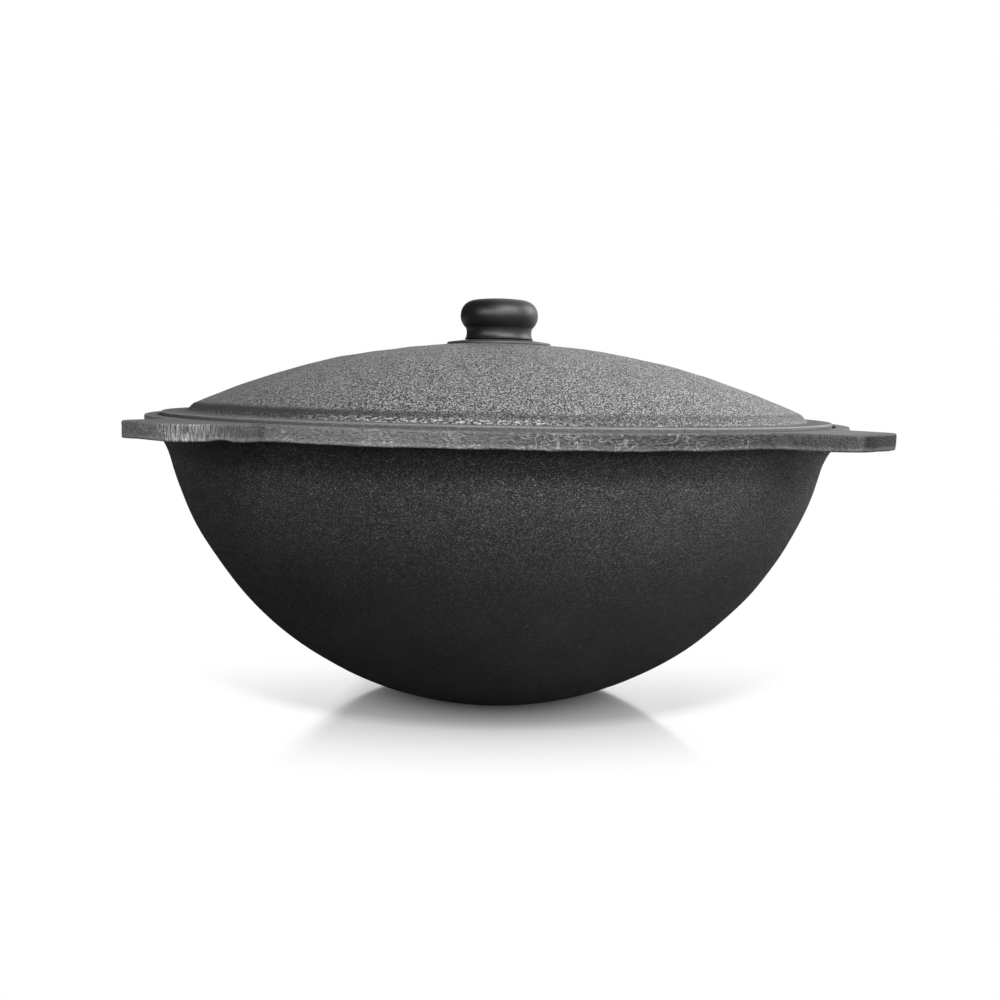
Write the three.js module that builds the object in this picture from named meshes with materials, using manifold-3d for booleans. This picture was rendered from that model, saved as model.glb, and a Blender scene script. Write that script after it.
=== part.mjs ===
// A cast-iron cauldron with a domed lid: round bowl, flat rim with four lugs, and a screwed-on knob.
// Millimetres, +Z up. The origin is the middle of the flat pad that the bowl stands on.
import * as THREE from "three";
import { mergeVertices } from "three/addons/utils/BufferGeometryUtils.js";
import Module from "manifold-3d";

// Bowl
const RIM_HEIGHT = 156.5; // from the surface it stands on to the top of the rim
const BOWL_RADIUS = 182.3; // outside of the wall where the bowl's curve is widest
const EQUATOR_RISE = 19.4; // that widest level lies above the rim, so the wall still leans out at the rim
const BASE_RADIUS = 35; // flat pad under the bowl
const WALL = 5;
const BASE_THICKNESS = 6;

// Rim, from the inside out: seat for the lid, then a raised land
const RIM_THICKNESS = 7.2;
const RECESS_DEPTH = 2.8;
const SEAT_WIDTH = 7;
const RIM_LAND = 7.2;
const RIM_EDGE = 0.8; // chamfer along the rim and the lugs
const UNDER_FILLET = 8; // between the wall and the underside of the rim
const FILLET_SHARE = 0.9; // of the rim's overhang, the most that this fillet may take

// Lugs, flush with the rim
const LUG_COUNT = 4;
const LUG_FIRST_ANGLE = 45; // degrees from +X
const LUG_REACH = 29.4; // beyond the rim
const LUG_WIDTH = 66; // between the flanks, at the rim
const LUG_TAPER = 20; // degrees, each flank
const LUG_CORNER = 12;
const LUG_ROOT = 12;

// Lid
const LID_WALL = 5;
const LID_CLEARANCE = 1.3; // all round, between the lid and the wall of the recess
const LID_RING_THICKNESS = 4.5;
const LID_RING_WIDTH = 12.6; // flat ring outside the dome
const SHOULDER_RUN = 4.2;
const SHOULDER_HEIGHT = 4.2;
const SHOULDER_PULL = { run: 0.4, height: 0.9 }; // shares at which the shoulder's control point lies
const LID_EDGE = 0.8; // chamfer along the ring
const DOME_RISE = 39.6; // crown of the dome's curve above the ring
const PAD_MARGIN = 0.8; // the flat pad on the crown is this much larger than the disc it carries

// Knob and the disc under it
const KNOB_RADIUS = 21.8;
const KNOB_HEIGHT = 22.9;
const KNOB_HEAD_HEIGHT = 16.2;
const KNOB_NECK_RADIUS = 18;
const KNOB_FOOT_RADIUS = 19.3;
const KNOB_CROWN = 0.9; // how far the top of the knob swells above its edge
const KNOB_TOP_RADIUS = 13.5; // the swelling ends here and the edge starts to turn down
const NECK_PULL = 0.2; // share of the neck's height at which each end of its curve is pulled in
const LIP_START = 0.25; // share of the head's overhang that the neck's flare takes up
const LIP_PULL = { out: 0.85, up: 0.14 }; // shares of the overhang and of the head's height
const BELLY_LEVEL = 0.4; // share of the head's height at which it is widest
const BELLY_PULL = { below: 0.12, above: 0.36 }; // shares of the head's height
const EDGE_PULL = { out: 0.5, down: 0.2 }; // shares of the turned-down edge and of the crown
const DISC_RADIUS = 29.2;
const DISC_EDGE = 1.3;
const DISC_HEIGHT = 2.9;

// Fastening
const SCREW_RADIUS = 3;
const SCREW_CLEARANCE = 0.3; // shank to everything around it, the thread left out
const SCREW_GRIP = 11; // length of the shank inside the insert
const HEAD_RADIUS = 6;
const HEAD_HEIGHT = 3.8;
const HEAD_FLAT = 3.6; // radius of the flat on the head
const HEAD_SIDE = 1.5; // straight side of the head
const TIP_LENGTH = 1;
const TIP_RADIUS = 2.1;
const SLOT_WIDTH = 1.6;
const SLOT_DEPTH = 1.8;
const WASHER_RADIUS = 6.2;
const WASHER_THICKNESS = 1.6;
const SPRING_RADIUS = 5.8;
const SPRING_THICKNESS = 1.6;
const SPRING_SPLIT = 1.4;
const SPOT_FACE_MARGIN = 1.5; // flat inside the crown, beyond the washer
const INSERT_RADIUS = 5.5;
const INSERT_BLIND = 2.5; // metal above the end of the screw's room
const INSERT_GROOVE_WIDTH = 3;
const INSERT_GROOVE_DEPTH = 0.7;
const INSERT_CLEARANCE = 0.2;
const SCREW_END_GAP = 1; // room past the end of the screw

const SEAT_GAP = 0.1; // between flat faces that rest on each other

// Facets
const LARGE_SEGMENTS = 64;
const KNOB_SEGMENTS = 36;
const SMALL_SEGMENTS = 20;
const BOWL_STEPS = 13; // along the bowl's curve, from the pad to the rim
const DOME_STEPS = 8; // along the lid's curve
const ROUND_STEPS = 4; // along a fillet, a shoulder or one curve of the knob
const WELD = 1e-4; // points closer than this are one point

const wasm = await Module();
wasm.setup();

function solidOf(geometry) {
  const bare = geometry.clone();
  bare.deleteAttribute("normal");
  bare.deleteAttribute("uv");
  const merged = mergeVertices(bare, WELD);
  return new wasm.Manifold(
    new wasm.Mesh({
      numProp: 3,
      vertProperties: new Float32Array(merged.attributes.position.array),
      triVerts: new Uint32Array(merged.index.array),
    }),
  );
}

function geometryOf(solid) {
  const mesh = solid.getMesh();
  const geometry = new THREE.BufferGeometry();
  geometry.setAttribute("position", new THREE.BufferAttribute(mesh.vertProperties, 3));
  geometry.setIndex(new THREE.BufferAttribute(mesh.triVerts, 1));
  geometry.computeVertexNormals();
  return geometry;
}

// A profile of radius and height, turned about the Z axis.
function turned(points, segments) {
  return new THREE.LatheGeometry(points, segments).rotateX(Math.PI / 2);
}

const at = (radius, height) => new THREE.Vector2(radius, height);

// Points of an ellipse on the axis, from one height to another, both ends included.
function ellipseRun(radius, halfHeight, centre, from, to, steps) {
  const angleOf = (height) => Math.acos(THREE.MathUtils.clamp((centre - height) / halfHeight, -1, 1));
  const points = [];
  for (let i = 0; i <= steps; i++) {
    const angle = THREE.MathUtils.lerp(angleOf(from), angleOf(to), i / steps);
    points.push(at(radius * Math.sin(angle), centre - halfHeight * Math.cos(angle)));
  }
  return points;
}

function arcRun(centreRadius, centreHeight, radius, startDegrees, endDegrees, steps) {
  const points = [];
  for (let i = 0; i <= steps; i++) {
    const angle = THREE.MathUtils.degToRad(THREE.MathUtils.lerp(startDegrees, endDegrees, i / steps));
    points.push(at(centreRadius + radius * Math.cos(angle), centreHeight + radius * Math.sin(angle)));
  }
  return points;
}

// Levels and radii of the bowl that the lid and the lugs take up
const equator = RIM_HEIGHT + EQUATOR_RISE;
const outerHalfHeight = equator / Math.sqrt(1 - (BASE_RADIUS / BOWL_RADIUS) ** 2);
const innerRadius = BOWL_RADIUS - WALL;
const innerHalfHeight = equator - BASE_THICKNESS;
const underRim = RIM_HEIGHT - RIM_THICKNESS;
const seatLevel = RIM_HEIGHT - RECESS_DEPTH;
const mouthRadius = innerRadius * Math.sqrt(1 - ((equator - seatLevel) / innerHalfHeight) ** 2);
const recessRadius = mouthRadius + SEAT_WIDTH;
const rimRadius = recessRadius + RIM_LAND;

const iron = new THREE.MeshStandardMaterial({ color: 0x2b2b2c, roughness: 0.72, metalness: 0.35 });
const lidIron = new THREE.MeshStandardMaterial({ color: 0x3c3c3d, roughness: 0.7, metalness: 0.35 });
const plastic = new THREE.MeshStandardMaterial({ color: 0x151516, roughness: 0.38, metalness: 0 });
const brass = new THREE.MeshStandardMaterial({ color: 0xb08d4a, roughness: 0.35, metalness: 1 });
const steel = new THREE.MeshStandardMaterial({ color: 0xa9abad, roughness: 0.35, metalness: 1 });

const cauldron = new THREE.Group();

function place(name, geometry, material, level) {
  const mesh = new THREE.Mesh(geometry, material);
  mesh.name = name;
  mesh.position.z = level;
  cauldron.add(mesh);
}

// Where a circle of radius round touches the rim or tip circle and the flank of a lug.
// The lug lies along +X; side is +1 where the circle lies outside the flank, -1 where it lies inside.
function cornerOfLug(circleRadius, round, side) {
  const taper = THREE.MathUtils.degToRad(LUG_TAPER);
  const along = new THREE.Vector2(Math.cos(taper), -Math.sin(taper));
  const out = new THREE.Vector2(Math.sin(taper), Math.cos(taper));
  const start = new THREE.Vector2(rimRadius, LUG_WIDTH / 2).addScaledVector(out, side * round);
  const reach = circleRadius + side * round;
  const half = start.dot(along);
  const travel = -half + Math.sqrt(half * half - start.lengthSq() + reach * reach);
  const centre = start.addScaledVector(along, travel);
  return {
    centre,
    flankAngle: Math.atan2(-side * out.y, -side * out.x),
    circleAngle: side > 0 ? Math.atan2(-centre.y, -centre.x) : Math.atan2(centre.y, centre.x),
    bearing: Math.atan2(centre.y, centre.x),
  };
}

// Plan of one lug along +X, rooted in the land of the rim.
function lugPlan() {
  const tipRadius = rimRadius + LUG_REACH;
  const rootRadius = rimRadius - RIM_LAND / 2;
  const root = cornerOfLug(rimRadius, LUG_ROOT, 1);
  const tip = cornerOfLug(tipRadius, LUG_CORNER, -1);
  const plan = new THREE.Shape();
  plan.absarc(0, 0, rootRadius, root.bearing, -root.bearing, true);
  plan.absarc(root.centre.x, -root.centre.y, LUG_ROOT, -root.circleAngle, -root.flankAngle, true);
  plan.absarc(tip.centre.x, -tip.centre.y, LUG_CORNER, -tip.flankAngle, -tip.circleAngle, false);
  plan.absarc(0, 0, tipRadius, -tip.bearing, tip.bearing, false);
  plan.absarc(tip.centre.x, tip.centre.y, LUG_CORNER, tip.circleAngle, tip.flankAngle, false);
  plan.absarc(root.centre.x, root.centre.y, LUG_ROOT, root.flankAngle, root.circleAngle, true);
  plan.closePath();
  return plan;
}

// Pot: the turned bowl and rim, joined by the lugs
function potGeometry() {
  const wallAtRim = BOWL_RADIUS * Math.sqrt(1 - ((equator - underRim) / outerHalfHeight) ** 2);
  const fillet = Math.min(UNDER_FILLET, FILLET_SHARE * (rimRadius - RIM_EDGE - wallAtRim));
  const filletFoot = underRim - fillet;
  const wallAtFoot = BOWL_RADIUS * Math.sqrt(1 - ((equator - filletFoot) / outerHalfHeight) ** 2);
  const profile = [
    at(0, 0),
    ...ellipseRun(BOWL_RADIUS, outerHalfHeight, equator, 0, filletFoot, BOWL_STEPS),
    ...arcRun(wallAtFoot + fillet, filletFoot, fillet, 180, 90, ROUND_STEPS).slice(1),
    at(rimRadius - RIM_EDGE, underRim),
    at(rimRadius, underRim + RIM_EDGE),
    at(rimRadius, RIM_HEIGHT - RIM_EDGE),
    at(rimRadius - RIM_EDGE, RIM_HEIGHT),
    at(recessRadius, RIM_HEIGHT),
    at(recessRadius, seatLevel),
    ...ellipseRun(innerRadius, innerHalfHeight, equator, seatLevel, BASE_THICKNESS, BOWL_STEPS),
  ];
  let pot = solidOf(turned(profile, LARGE_SEGMENTS));
  const lug = new THREE.ExtrudeGeometry(lugPlan(), {
    depth: RIM_THICKNESS - 2 * RIM_EDGE,
    bevelThickness: RIM_EDGE,
    bevelSize: RIM_EDGE,
    bevelOffset: -RIM_EDGE,
    bevelSegments: 1,
    curveSegments: ROUND_STEPS,
  });
  lug.translate(0, 0, underRim + RIM_EDGE);
  for (let i = 0; i < LUG_COUNT; i++) {
    const angle = THREE.MathUtils.degToRad(LUG_FIRST_ANGLE + (360 / LUG_COUNT) * i);
    pot = pot.add(solidOf(lug.clone().rotateZ(angle)));
  }
  return geometryOf(pot);
}
place("pot", potGeometry(), iron, 0);

// Lid: heights in its profile are above the seat that it rests on
const lidRadius = recessRadius - LID_CLEARANCE;
const lidLevel = seatLevel + SEAT_GAP;
const domeFootRadius = lidRadius - LID_RING_WIDTH;
const holeRadius = SCREW_RADIUS + SCREW_CLEARANCE;
const domeEdgeRadius = domeFootRadius - SHOULDER_RUN;
const domeSag = DOME_RISE - SHOULDER_HEIGHT;
const domeRadius = (domeEdgeRadius ** 2 + domeSag ** 2) / (2 * domeSag);
const domeCentre = LID_RING_THICKNESS + DOME_RISE - domeRadius;
const padRadius = DISC_RADIUS + PAD_MARGIN;
const padLevel = domeCentre + Math.sqrt(domeRadius ** 2 - padRadius ** 2);
const spotFaceRadius = WASHER_RADIUS + SPOT_FACE_MARGIN;
const hollowRadius = domeRadius - LID_WALL;
const spotFaceLevel = domeCentre + Math.sqrt(hollowRadius ** 2 - spotFaceRadius ** 2);

// Points of the dome's curve, at a given distance from its centre, between two radii.
function domeRun(curveRadius, from, to, steps) {
  const points = [];
  for (let i = 0; i <= steps; i++) {
    const angle = THREE.MathUtils.lerp(Math.asin(from / curveRadius), Math.asin(to / curveRadius), i / steps);
    points.push(at(curveRadius * Math.sin(angle), domeCentre + curveRadius * Math.cos(angle)));
  }
  return points;
}

function lidGeometry() {
  const hollowFoot = domeEdgeRadius - LID_WALL;
  const shoulder = new THREE.QuadraticBezierCurve(
    at(domeFootRadius, LID_RING_THICKNESS),
    at(
      domeEdgeRadius + SHOULDER_PULL.run * SHOULDER_RUN,
      LID_RING_THICKNESS + SHOULDER_PULL.height * SHOULDER_HEIGHT,
    ),
    at(domeEdgeRadius, LID_RING_THICKNESS + SHOULDER_HEIGHT),
  );
  const profile = [
    at(hollowFoot, 0),
    at(lidRadius - LID_EDGE, 0),
    at(lidRadius, LID_EDGE),
    at(lidRadius, LID_RING_THICKNESS - LID_EDGE),
    at(lidRadius - LID_EDGE, LID_RING_THICKNESS),
    ...shoulder.getPoints(ROUND_STEPS),
    ...domeRun(domeRadius, domeEdgeRadius, padRadius, DOME_STEPS).slice(1),
    at(holeRadius, padLevel),
    at(holeRadius, spotFaceLevel),
    ...domeRun(hollowRadius, spotFaceRadius, hollowFoot, DOME_STEPS),
    at(hollowFoot, 0),
  ];
  return turned(profile, LARGE_SEGMENTS);
}
place("lid", lidGeometry(), lidIron, lidLevel);

// Conical disc on the crown of the lid
const discLevel = lidLevel + padLevel + SEAT_GAP;
const discProfile = [
  at(holeRadius, 0),
  at(DISC_RADIUS, 0),
  at(DISC_RADIUS, DISC_EDGE),
  at(KNOB_FOOT_RADIUS, DISC_HEIGHT),
  at(holeRadius, DISC_HEIGHT),
  at(holeRadius, 0),
];
place("knob_base_disc", turned(discProfile, KNOB_SEGMENTS), plastic, discLevel);

// Knob: a flared neck and a rounded head, bored from below for the insert
const knobLevel = discLevel + DISC_HEIGHT + SEAT_GAP;
const screwRoom = SCREW_GRIP + SCREW_END_GAP;
const insertLength = screwRoom + INSERT_BLIND;
function knobProfile() {
  const boreRadius = INSERT_RADIUS + INSERT_CLEARANCE;
  const boreDepth = insertLength + INSERT_CLEARANCE;
  const neckHeight = KNOB_HEIGHT - KNOB_HEAD_HEIGHT;
  const headEdge = KNOB_HEIGHT - KNOB_CROWN;
  const widest = neckHeight + BELLY_LEVEL * KNOB_HEAD_HEIGHT;
  const overhang = KNOB_RADIUS - KNOB_NECK_RADIUS;
  const path = new THREE.Path();
  path.moveTo(boreRadius, 0);
  path.lineTo(KNOB_FOOT_RADIUS, 0);
  path.bezierCurveTo(
    KNOB_NECK_RADIUS, NECK_PULL * neckHeight,
    KNOB_NECK_RADIUS, neckHeight - NECK_PULL * neckHeight,
    KNOB_NECK_RADIUS + LIP_START * overhang, neckHeight,
  );
  path.bezierCurveTo(
    KNOB_NECK_RADIUS + LIP_PULL.out * overhang, neckHeight + LIP_PULL.up * KNOB_HEAD_HEIGHT,
    KNOB_RADIUS, widest - BELLY_PULL.below * KNOB_HEAD_HEIGHT,
    KNOB_RADIUS, widest,
  );
  path.bezierCurveTo(
    KNOB_RADIUS, widest + BELLY_PULL.above * KNOB_HEAD_HEIGHT,
    KNOB_TOP_RADIUS + EDGE_PULL.out * (KNOB_RADIUS - KNOB_TOP_RADIUS), headEdge - EDGE_PULL.down * KNOB_CROWN,
    KNOB_TOP_RADIUS, headEdge,
  );
  path.quadraticCurveTo(KNOB_TOP_RADIUS / 2, KNOB_HEIGHT, 0, KNOB_HEIGHT);
  return [...path.getPoints(ROUND_STEPS), at(0, boreDepth), at(boreRadius, boreDepth), at(boreRadius, 0)];
}
place("knob", turned(knobProfile(), KNOB_SEGMENTS), plastic, knobLevel);

// Blind threaded bush in the knob, with a groove that the moulding grips
const grooveStart = (insertLength - INSERT_GROOVE_WIDTH) / 2;
const insertProfile = [
  at(holeRadius, 0),
  at(INSERT_RADIUS, 0),
  at(INSERT_RADIUS, grooveStart),
  at(INSERT_RADIUS - INSERT_GROOVE_DEPTH, grooveStart),
  at(INSERT_RADIUS - INSERT_GROOVE_DEPTH, grooveStart + INSERT_GROOVE_WIDTH),
  at(INSERT_RADIUS, grooveStart + INSERT_GROOVE_WIDTH),
  at(INSERT_RADIUS, insertLength),
  at(0, insertLength),
  at(0, screwRoom),
  at(holeRadius, screwRoom),
  at(holeRadius, 0),
];
place("knob_insert", turned(insertProfile, SMALL_SEGMENTS), brass, knobLevel);

// Washers and screw, hung from the flat face inside the crown
function ringProfile(outerRadius, thickness) {
  return [
    at(holeRadius, 0),
    at(outerRadius, 0),
    at(outerRadius, thickness),
    at(holeRadius, thickness),
    at(holeRadius, 0),
  ];
}
const washerLevel = lidLevel + spotFaceLevel - SEAT_GAP - WASHER_THICKNESS;
const washerProfile = ringProfile(WASHER_RADIUS, WASHER_THICKNESS);
place("flat_washer", turned(washerProfile, SMALL_SEGMENTS), steel, washerLevel);

const springLevel = washerLevel - SEAT_GAP - SPRING_THICKNESS;
function springGeometry() {
  const ring = solidOf(turned(ringProfile(SPRING_RADIUS, SPRING_THICKNESS), SMALL_SEGMENTS));
  const split = new THREE.BoxGeometry(2 * SPRING_RADIUS, SPRING_SPLIT, 4 * SPRING_THICKNESS);
  split.translate(SPRING_RADIUS, 0, 0);
  return geometryOf(ring.subtract(solidOf(split)));
}
place("spring_washer", springGeometry(), steel, springLevel);

const headLevel = springLevel - SEAT_GAP - HEAD_HEIGHT;
function screwGeometry() {
  const shankLength = knobLevel + SCREW_GRIP - headLevel;
  const crown = new THREE.QuadraticBezierCurve(
    at(HEAD_FLAT, 0),
    at(HEAD_RADIUS, 0),
    at(HEAD_RADIUS, HEAD_HEIGHT - HEAD_SIDE),
  );
  const screw = turned(
    [
      at(0, 0),
      ...crown.getPoints(ROUND_STEPS),
      at(HEAD_RADIUS, HEAD_HEIGHT),
      at(SCREW_RADIUS, HEAD_HEIGHT),
      at(SCREW_RADIUS, shankLength - TIP_LENGTH),
      at(TIP_RADIUS, shankLength),
      at(0, shankLength),
    ],
    SMALL_SEGMENTS,
  );
  const slot = new THREE.BoxGeometry(3 * HEAD_RADIUS, SLOT_WIDTH, 2 * SLOT_DEPTH);
  return geometryOf(solidOf(screw).subtract(solidOf(slot)));
}
place("knob_screw", screwGeometry(), steel, headLevel);

export default cauldron;
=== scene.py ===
# %% [markdown]
# A cast-iron cauldron with a domed lid. Its measured solids come from the packed frame, and this lesson
# gives them their looks: finer castings, grained iron, a satin knob, a floor and soft light. The box of
# the packed part is kept.

import math

import bpy
import numpy as np
from mathutils import Matrix, Vector


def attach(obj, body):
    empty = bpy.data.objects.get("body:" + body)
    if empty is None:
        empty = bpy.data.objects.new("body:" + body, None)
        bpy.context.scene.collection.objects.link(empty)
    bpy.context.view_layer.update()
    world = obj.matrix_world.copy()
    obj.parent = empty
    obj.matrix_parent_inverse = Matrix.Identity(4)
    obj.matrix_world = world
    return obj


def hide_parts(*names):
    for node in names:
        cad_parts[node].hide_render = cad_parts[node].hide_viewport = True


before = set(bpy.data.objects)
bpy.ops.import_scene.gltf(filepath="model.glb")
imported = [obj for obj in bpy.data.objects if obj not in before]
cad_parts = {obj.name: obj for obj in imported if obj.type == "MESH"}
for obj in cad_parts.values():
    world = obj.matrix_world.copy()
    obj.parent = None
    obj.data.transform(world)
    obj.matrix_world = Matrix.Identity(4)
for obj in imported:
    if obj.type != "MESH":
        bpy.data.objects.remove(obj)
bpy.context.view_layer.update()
scene = bpy.context.scene
scene.view_settings.view_transform = "Standard"

# %% [markdown]
# The camera looks slightly down at the front of the pot, from just over half a metre. Its place was
# worked out from the ellipses of the rim and the lid. A Track To constraint could aim it, but the picture
# also leans a little, so three directions make its matrix: right, up and back, with right and up turned
# about the line of sight.

# %% Camera
PITCH = math.radians(6.40)
ROLL = math.radians(1.13)
TURN = math.radians(4.2)
CAMERA_PLACE = Vector((-0.03946, -0.57035, 0.17312))

heading = Matrix.Rotation(-TURN, 3, "Z")
right = heading @ Vector((1, 0, 0))
sight = heading @ Vector((0, math.cos(PITCH), -math.sin(PITCH)))
up = right.cross(sight)
leaned_right = math.cos(ROLL) * right + math.sin(ROLL) * up
leaned_up = math.cos(ROLL) * up - math.sin(ROLL) * right

camera = bpy.data.objects.new("camera", bpy.data.cameras.new("camera"))
camera.data.lens = 36
camera.data.sensor_width = 36
axes = Matrix((leaned_right, leaned_up, -sight)).transposed()
camera.matrix_world = Matrix.Translation(CAMERA_PLACE) @ axes.to_4x4()
scene.collection.objects.link(camera)
scene.camera = camera
print("camera", [round(x, 3) for x in CAMERA_PLACE])

# %% [markdown]
# Every new piece is a grid of points: rows follow a profile, columns go round the axis. Lathe tools such
# as Screw or Spin could turn a profile too, but a grid in numpy can also push the lugs out, add the
# unevenness of a casting, and carry a map and masks that the finishes read. Columns close on themselves,
# and the ends of the profile close in a pole or in each other, so that no mesh has an open edge.

# %% Faces of a grid
def grid_faces(rows, columns, u, v, closed):
    """Quads between each point, the next column and the next row, and the map at their corners.

    The point in row i and column j has the number i * columns + j. The last column joins the first, and
    in a closed profile the last row joins the first too.
    """
    i, j = np.meshgrid(np.arange(rows if closed else rows - 1), np.arange(columns), indexing="ij")
    low = i % rows * columns
    high = (i + 1) % rows * columns
    after = (j + 1) % columns
    quads = np.stack([low + j, low + after, high + after, high + j], -1).reshape(-1, 4)
    spots = np.stack([u[[j, j + 1, j + 1, j]], v[[i, i, i + 1, i + 1]]], -1)
    return quads, spots.transpose(1, 2, 0, 3).reshape(-1, 2)


def pole_fans(rows, columns, u, v):
    """Triangles from the first and the last row to two poles, numbered after the grid, and their map."""
    column = np.arange(columns)
    after = (column + 1) % columns
    last = (rows - 1) * columns
    pole = np.full(columns, rows * columns)
    first_fan = np.stack([pole, after, column], -1)
    last_fan = np.stack([last + column, last + after, pole + 1], -1)
    middle = (u[:-1] + u[1:]) / 2
    first_u = np.stack([middle, u[1:], u[:-1]])
    last_u = np.stack([u[:-1], u[1:], middle])
    first_spots = np.stack([first_u, np.full((3, columns), v[0])], -1).transpose(1, 0, 2)
    last_spots = np.stack([last_u, np.full((3, columns), v[-1])], -1).transpose(1, 0, 2)
    fans = np.concatenate([first_fan, last_fan])
    return fans, np.concatenate([first_spots, last_spots]).reshape(-1, 2)


print("a closed grid of 3 by 4 has", len(grid_faces(3, 4, np.arange(5), np.arange(4), True)[0]), "quads")

# %% [markdown]
# The mesh gets its points, corners and faces as whole arrays through foreach_set, which is much faster than
# adding them one by one. The map is called wrap, and each mask becomes an attribute on the points.

# %% Grid to mesh
MM = 0.001


def put_grid(name, points, u, v, masks, poles=None):
    """Make an object from points[row, column], in millimetres.

    poles are the two heights on the axis that close the ends as fans; without them the last row joins the
    first. u has one value per column and one more, v one per row (and one more in a closed profile): they
    are lengths in millimetres, and the map holds them in metres. masks are named values per point.
    """
    rows, columns = points.shape[:2]
    quads, spots = grid_faces(rows, columns, u, v, closed=not poles)
    vertices = points.reshape(-1, 3)
    loops = quads.ravel()
    sizes = np.full(len(quads), 4)
    values = {key: np.broadcast_to(value, (rows, columns)).ravel() for key, value in masks.items()}
    if poles:
        fans, fan_spots = pole_fans(rows, columns, u, v)
        vertices = np.concatenate([vertices, [[0, 0, poles[0]], [0, 0, poles[1]]]])
        loops = np.concatenate([loops, fans.ravel()])
        sizes = np.concatenate([sizes, np.full(len(fans), 3)])
        spots = np.concatenate([spots, fan_spots])
        values = {key: np.concatenate([value, value[:1], value[-1:]]) for key, value in values.items()}
    mesh = bpy.data.meshes.new(name)
    mesh.vertices.add(len(vertices))
    mesh.vertices.foreach_set("co", (vertices * MM).astype(np.float32).ravel())
    mesh.loops.add(len(loops))
    mesh.loops.foreach_set("vertex_index", loops.astype(np.int32))
    mesh.polygons.add(len(sizes))
    mesh.polygons.foreach_set("loop_start", (np.cumsum(sizes) - sizes).astype(np.int32))
    mesh.polygons.foreach_set("use_smooth", np.ones(len(sizes), bool))
    wrap = mesh.uv_layers.new(name="wrap")
    wrap.data.foreach_set("uv", (spots * MM).astype(np.float32).ravel())
    for key, value in values.items():
        layer = mesh.attributes.new(key, "FLOAT", "POINT")
        layer.data.foreach_set("value", value.astype(np.float32))
    mesh.update(calc_edges=True)
    if mesh.validate():
        print(name, "had faults that were mended")
    piece = bpy.data.objects.new(name, mesh)
    scene.collection.objects.link(piece)
    print(name, len(vertices), "points,", int((sizes - 2).sum()), "triangles")
    return piece


# %% [markdown]
# Profiles are drawn like a pattern maker's template: straight runs between corners, with every corner
# rounded a little, since a casting has no knife edges. A Bevel modifier could round them afterwards, but
# then the masks would not know where the corners are. Long curves are Bezier curves or ellipses.

# %% Profiles
def rounded(corners, spacing, arc_points=5):
    """Points along a template of corners (r, z, ..., cut).

    Each corner c is left at a, cut before it, and rejoined at b, cut after it, on the curve
    (1-t)^2 a + 2t(1-t) c + t^2 b. The runs between are split into steps of about spacing.
    """
    corners = np.asarray(corners, float)
    at, cut = corners[:, :-1], corners[:, -1:]
    gap = np.linalg.norm(np.diff(at[:, :2], axis=0), axis=1)[:, None]
    leave, rejoin = at.copy(), at.copy()
    leave[1:] += (at[:-1] - at[1:]) * cut[1:] / gap
    rejoin[:-1] += (at[1:] - at[:-1]) * cut[:-1] / gap
    path = []
    for i in range(len(at)):
        t = np.linspace(0, 1, arc_points if cut[i, 0] else 1)[:, None]
        path += [(1 - t) ** 2 * leave[i] + 2 * t * (1 - t) * at[i] + t**2 * rejoin[i]]
        if i + 1 < len(at):
            steps = int(np.ceil(np.linalg.norm(leave[i + 1, :2] - rejoin[i, :2]) / spacing))
            t = np.linspace(0, 1, max(steps, 1) + 1)[1:-1, None]
            path += [(1 - t) * rejoin[i] + t * leave[i + 1]]
    return np.concatenate(path)


def bezier(controls, steps):
    """Bezier curve of any degree n: the sum of C(n, k) t^k (1-t)^(n-k) times control k."""
    controls = np.asarray(controls, float)
    n = len(controls) - 1
    t = np.linspace(0, 1, steps)[:, None]
    return sum(math.comb(n, k) * t**k * (1 - t) ** (n - k) * c for k, c in enumerate(controls))


def plain(points):
    """The points as corners that are not rounded."""
    return np.column_stack([points, np.zeros(len(points))])


def lengths(points):
    """Length along a line of points, from its first point."""
    return np.concatenate([[0], np.cumsum(np.linalg.norm(np.diff(points, axis=0), axis=1))])


def closed_lengths(points):
    """Length along a line of points and back to its first point."""
    return lengths(np.vstack([points, points[:1]]))


print("a rounded corner has", len(rounded([[0, 0, 0], [9, 0, 2], [9, 9, 0]], 10)) - 2, "points")

# %% [markdown]
# Sand moulds leave soft waves in a casting. A Displace modifier with a clouds texture could make them, but
# a sum of sine waves in seeded directions is the same on every run and can be faded out where a face has
# to stay true. A smooth step does the fading.

# %% Waves of a casting
def unevenness(points, wavelength, seed, waves=18):
    """A smooth random field: seeded sine waves of about one wavelength, summed to an rms of 1."""
    draw = np.random.default_rng(seed)
    direction = draw.normal(size=(waves, 3))
    direction /= np.linalg.norm(direction, axis=1, keepdims=True)
    count = 2 * np.pi / wavelength * draw.uniform(0.7, 1.3, (waves, 1)) * direction
    return np.sin(points @ count.T + draw.uniform(0, 2 * np.pi, waves)).sum(-1) * np.sqrt(2 / waves)


def layered(points, layers):
    """The sum of several fields of unevenness: each layer is its depth, its wavelength and its seed."""
    return sum(depth * unevenness(points, wavelength, seed) for depth, wavelength, seed in layers)


def step(value, low, high):
    """0 below low, 1 above high, and a smooth 3t^2 - 2t^3 between."""
    t = np.clip((value - low) / (high - low), 0, 1)
    return t * t * (3 - 2 * t)


print("halfway up a smooth step is", step(0.5, 0, 1))

# %% [markdown]
# The rim seen from above is a circle with four flat lugs. Each lug has a tip on a larger circle, rounded
# corners, straight flanks that draw together, and a fillet where it runs out into the rim. A boolean of
# plates could make that, but the grid only needs to know how far the edge stands beyond the rim's circle
# at each bearing. Half a lug is drawn as points, and the rest follows by mirror and quarter turns.

# %% Plan of half a lug
RIM_RADIUS = 189.98
LUG_REACH = 29.4
LUG_HALF_WIDTH = 33
LUG_TAPER = math.radians(20)
LUG_ROUND = 12
LUGS = 4


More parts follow.
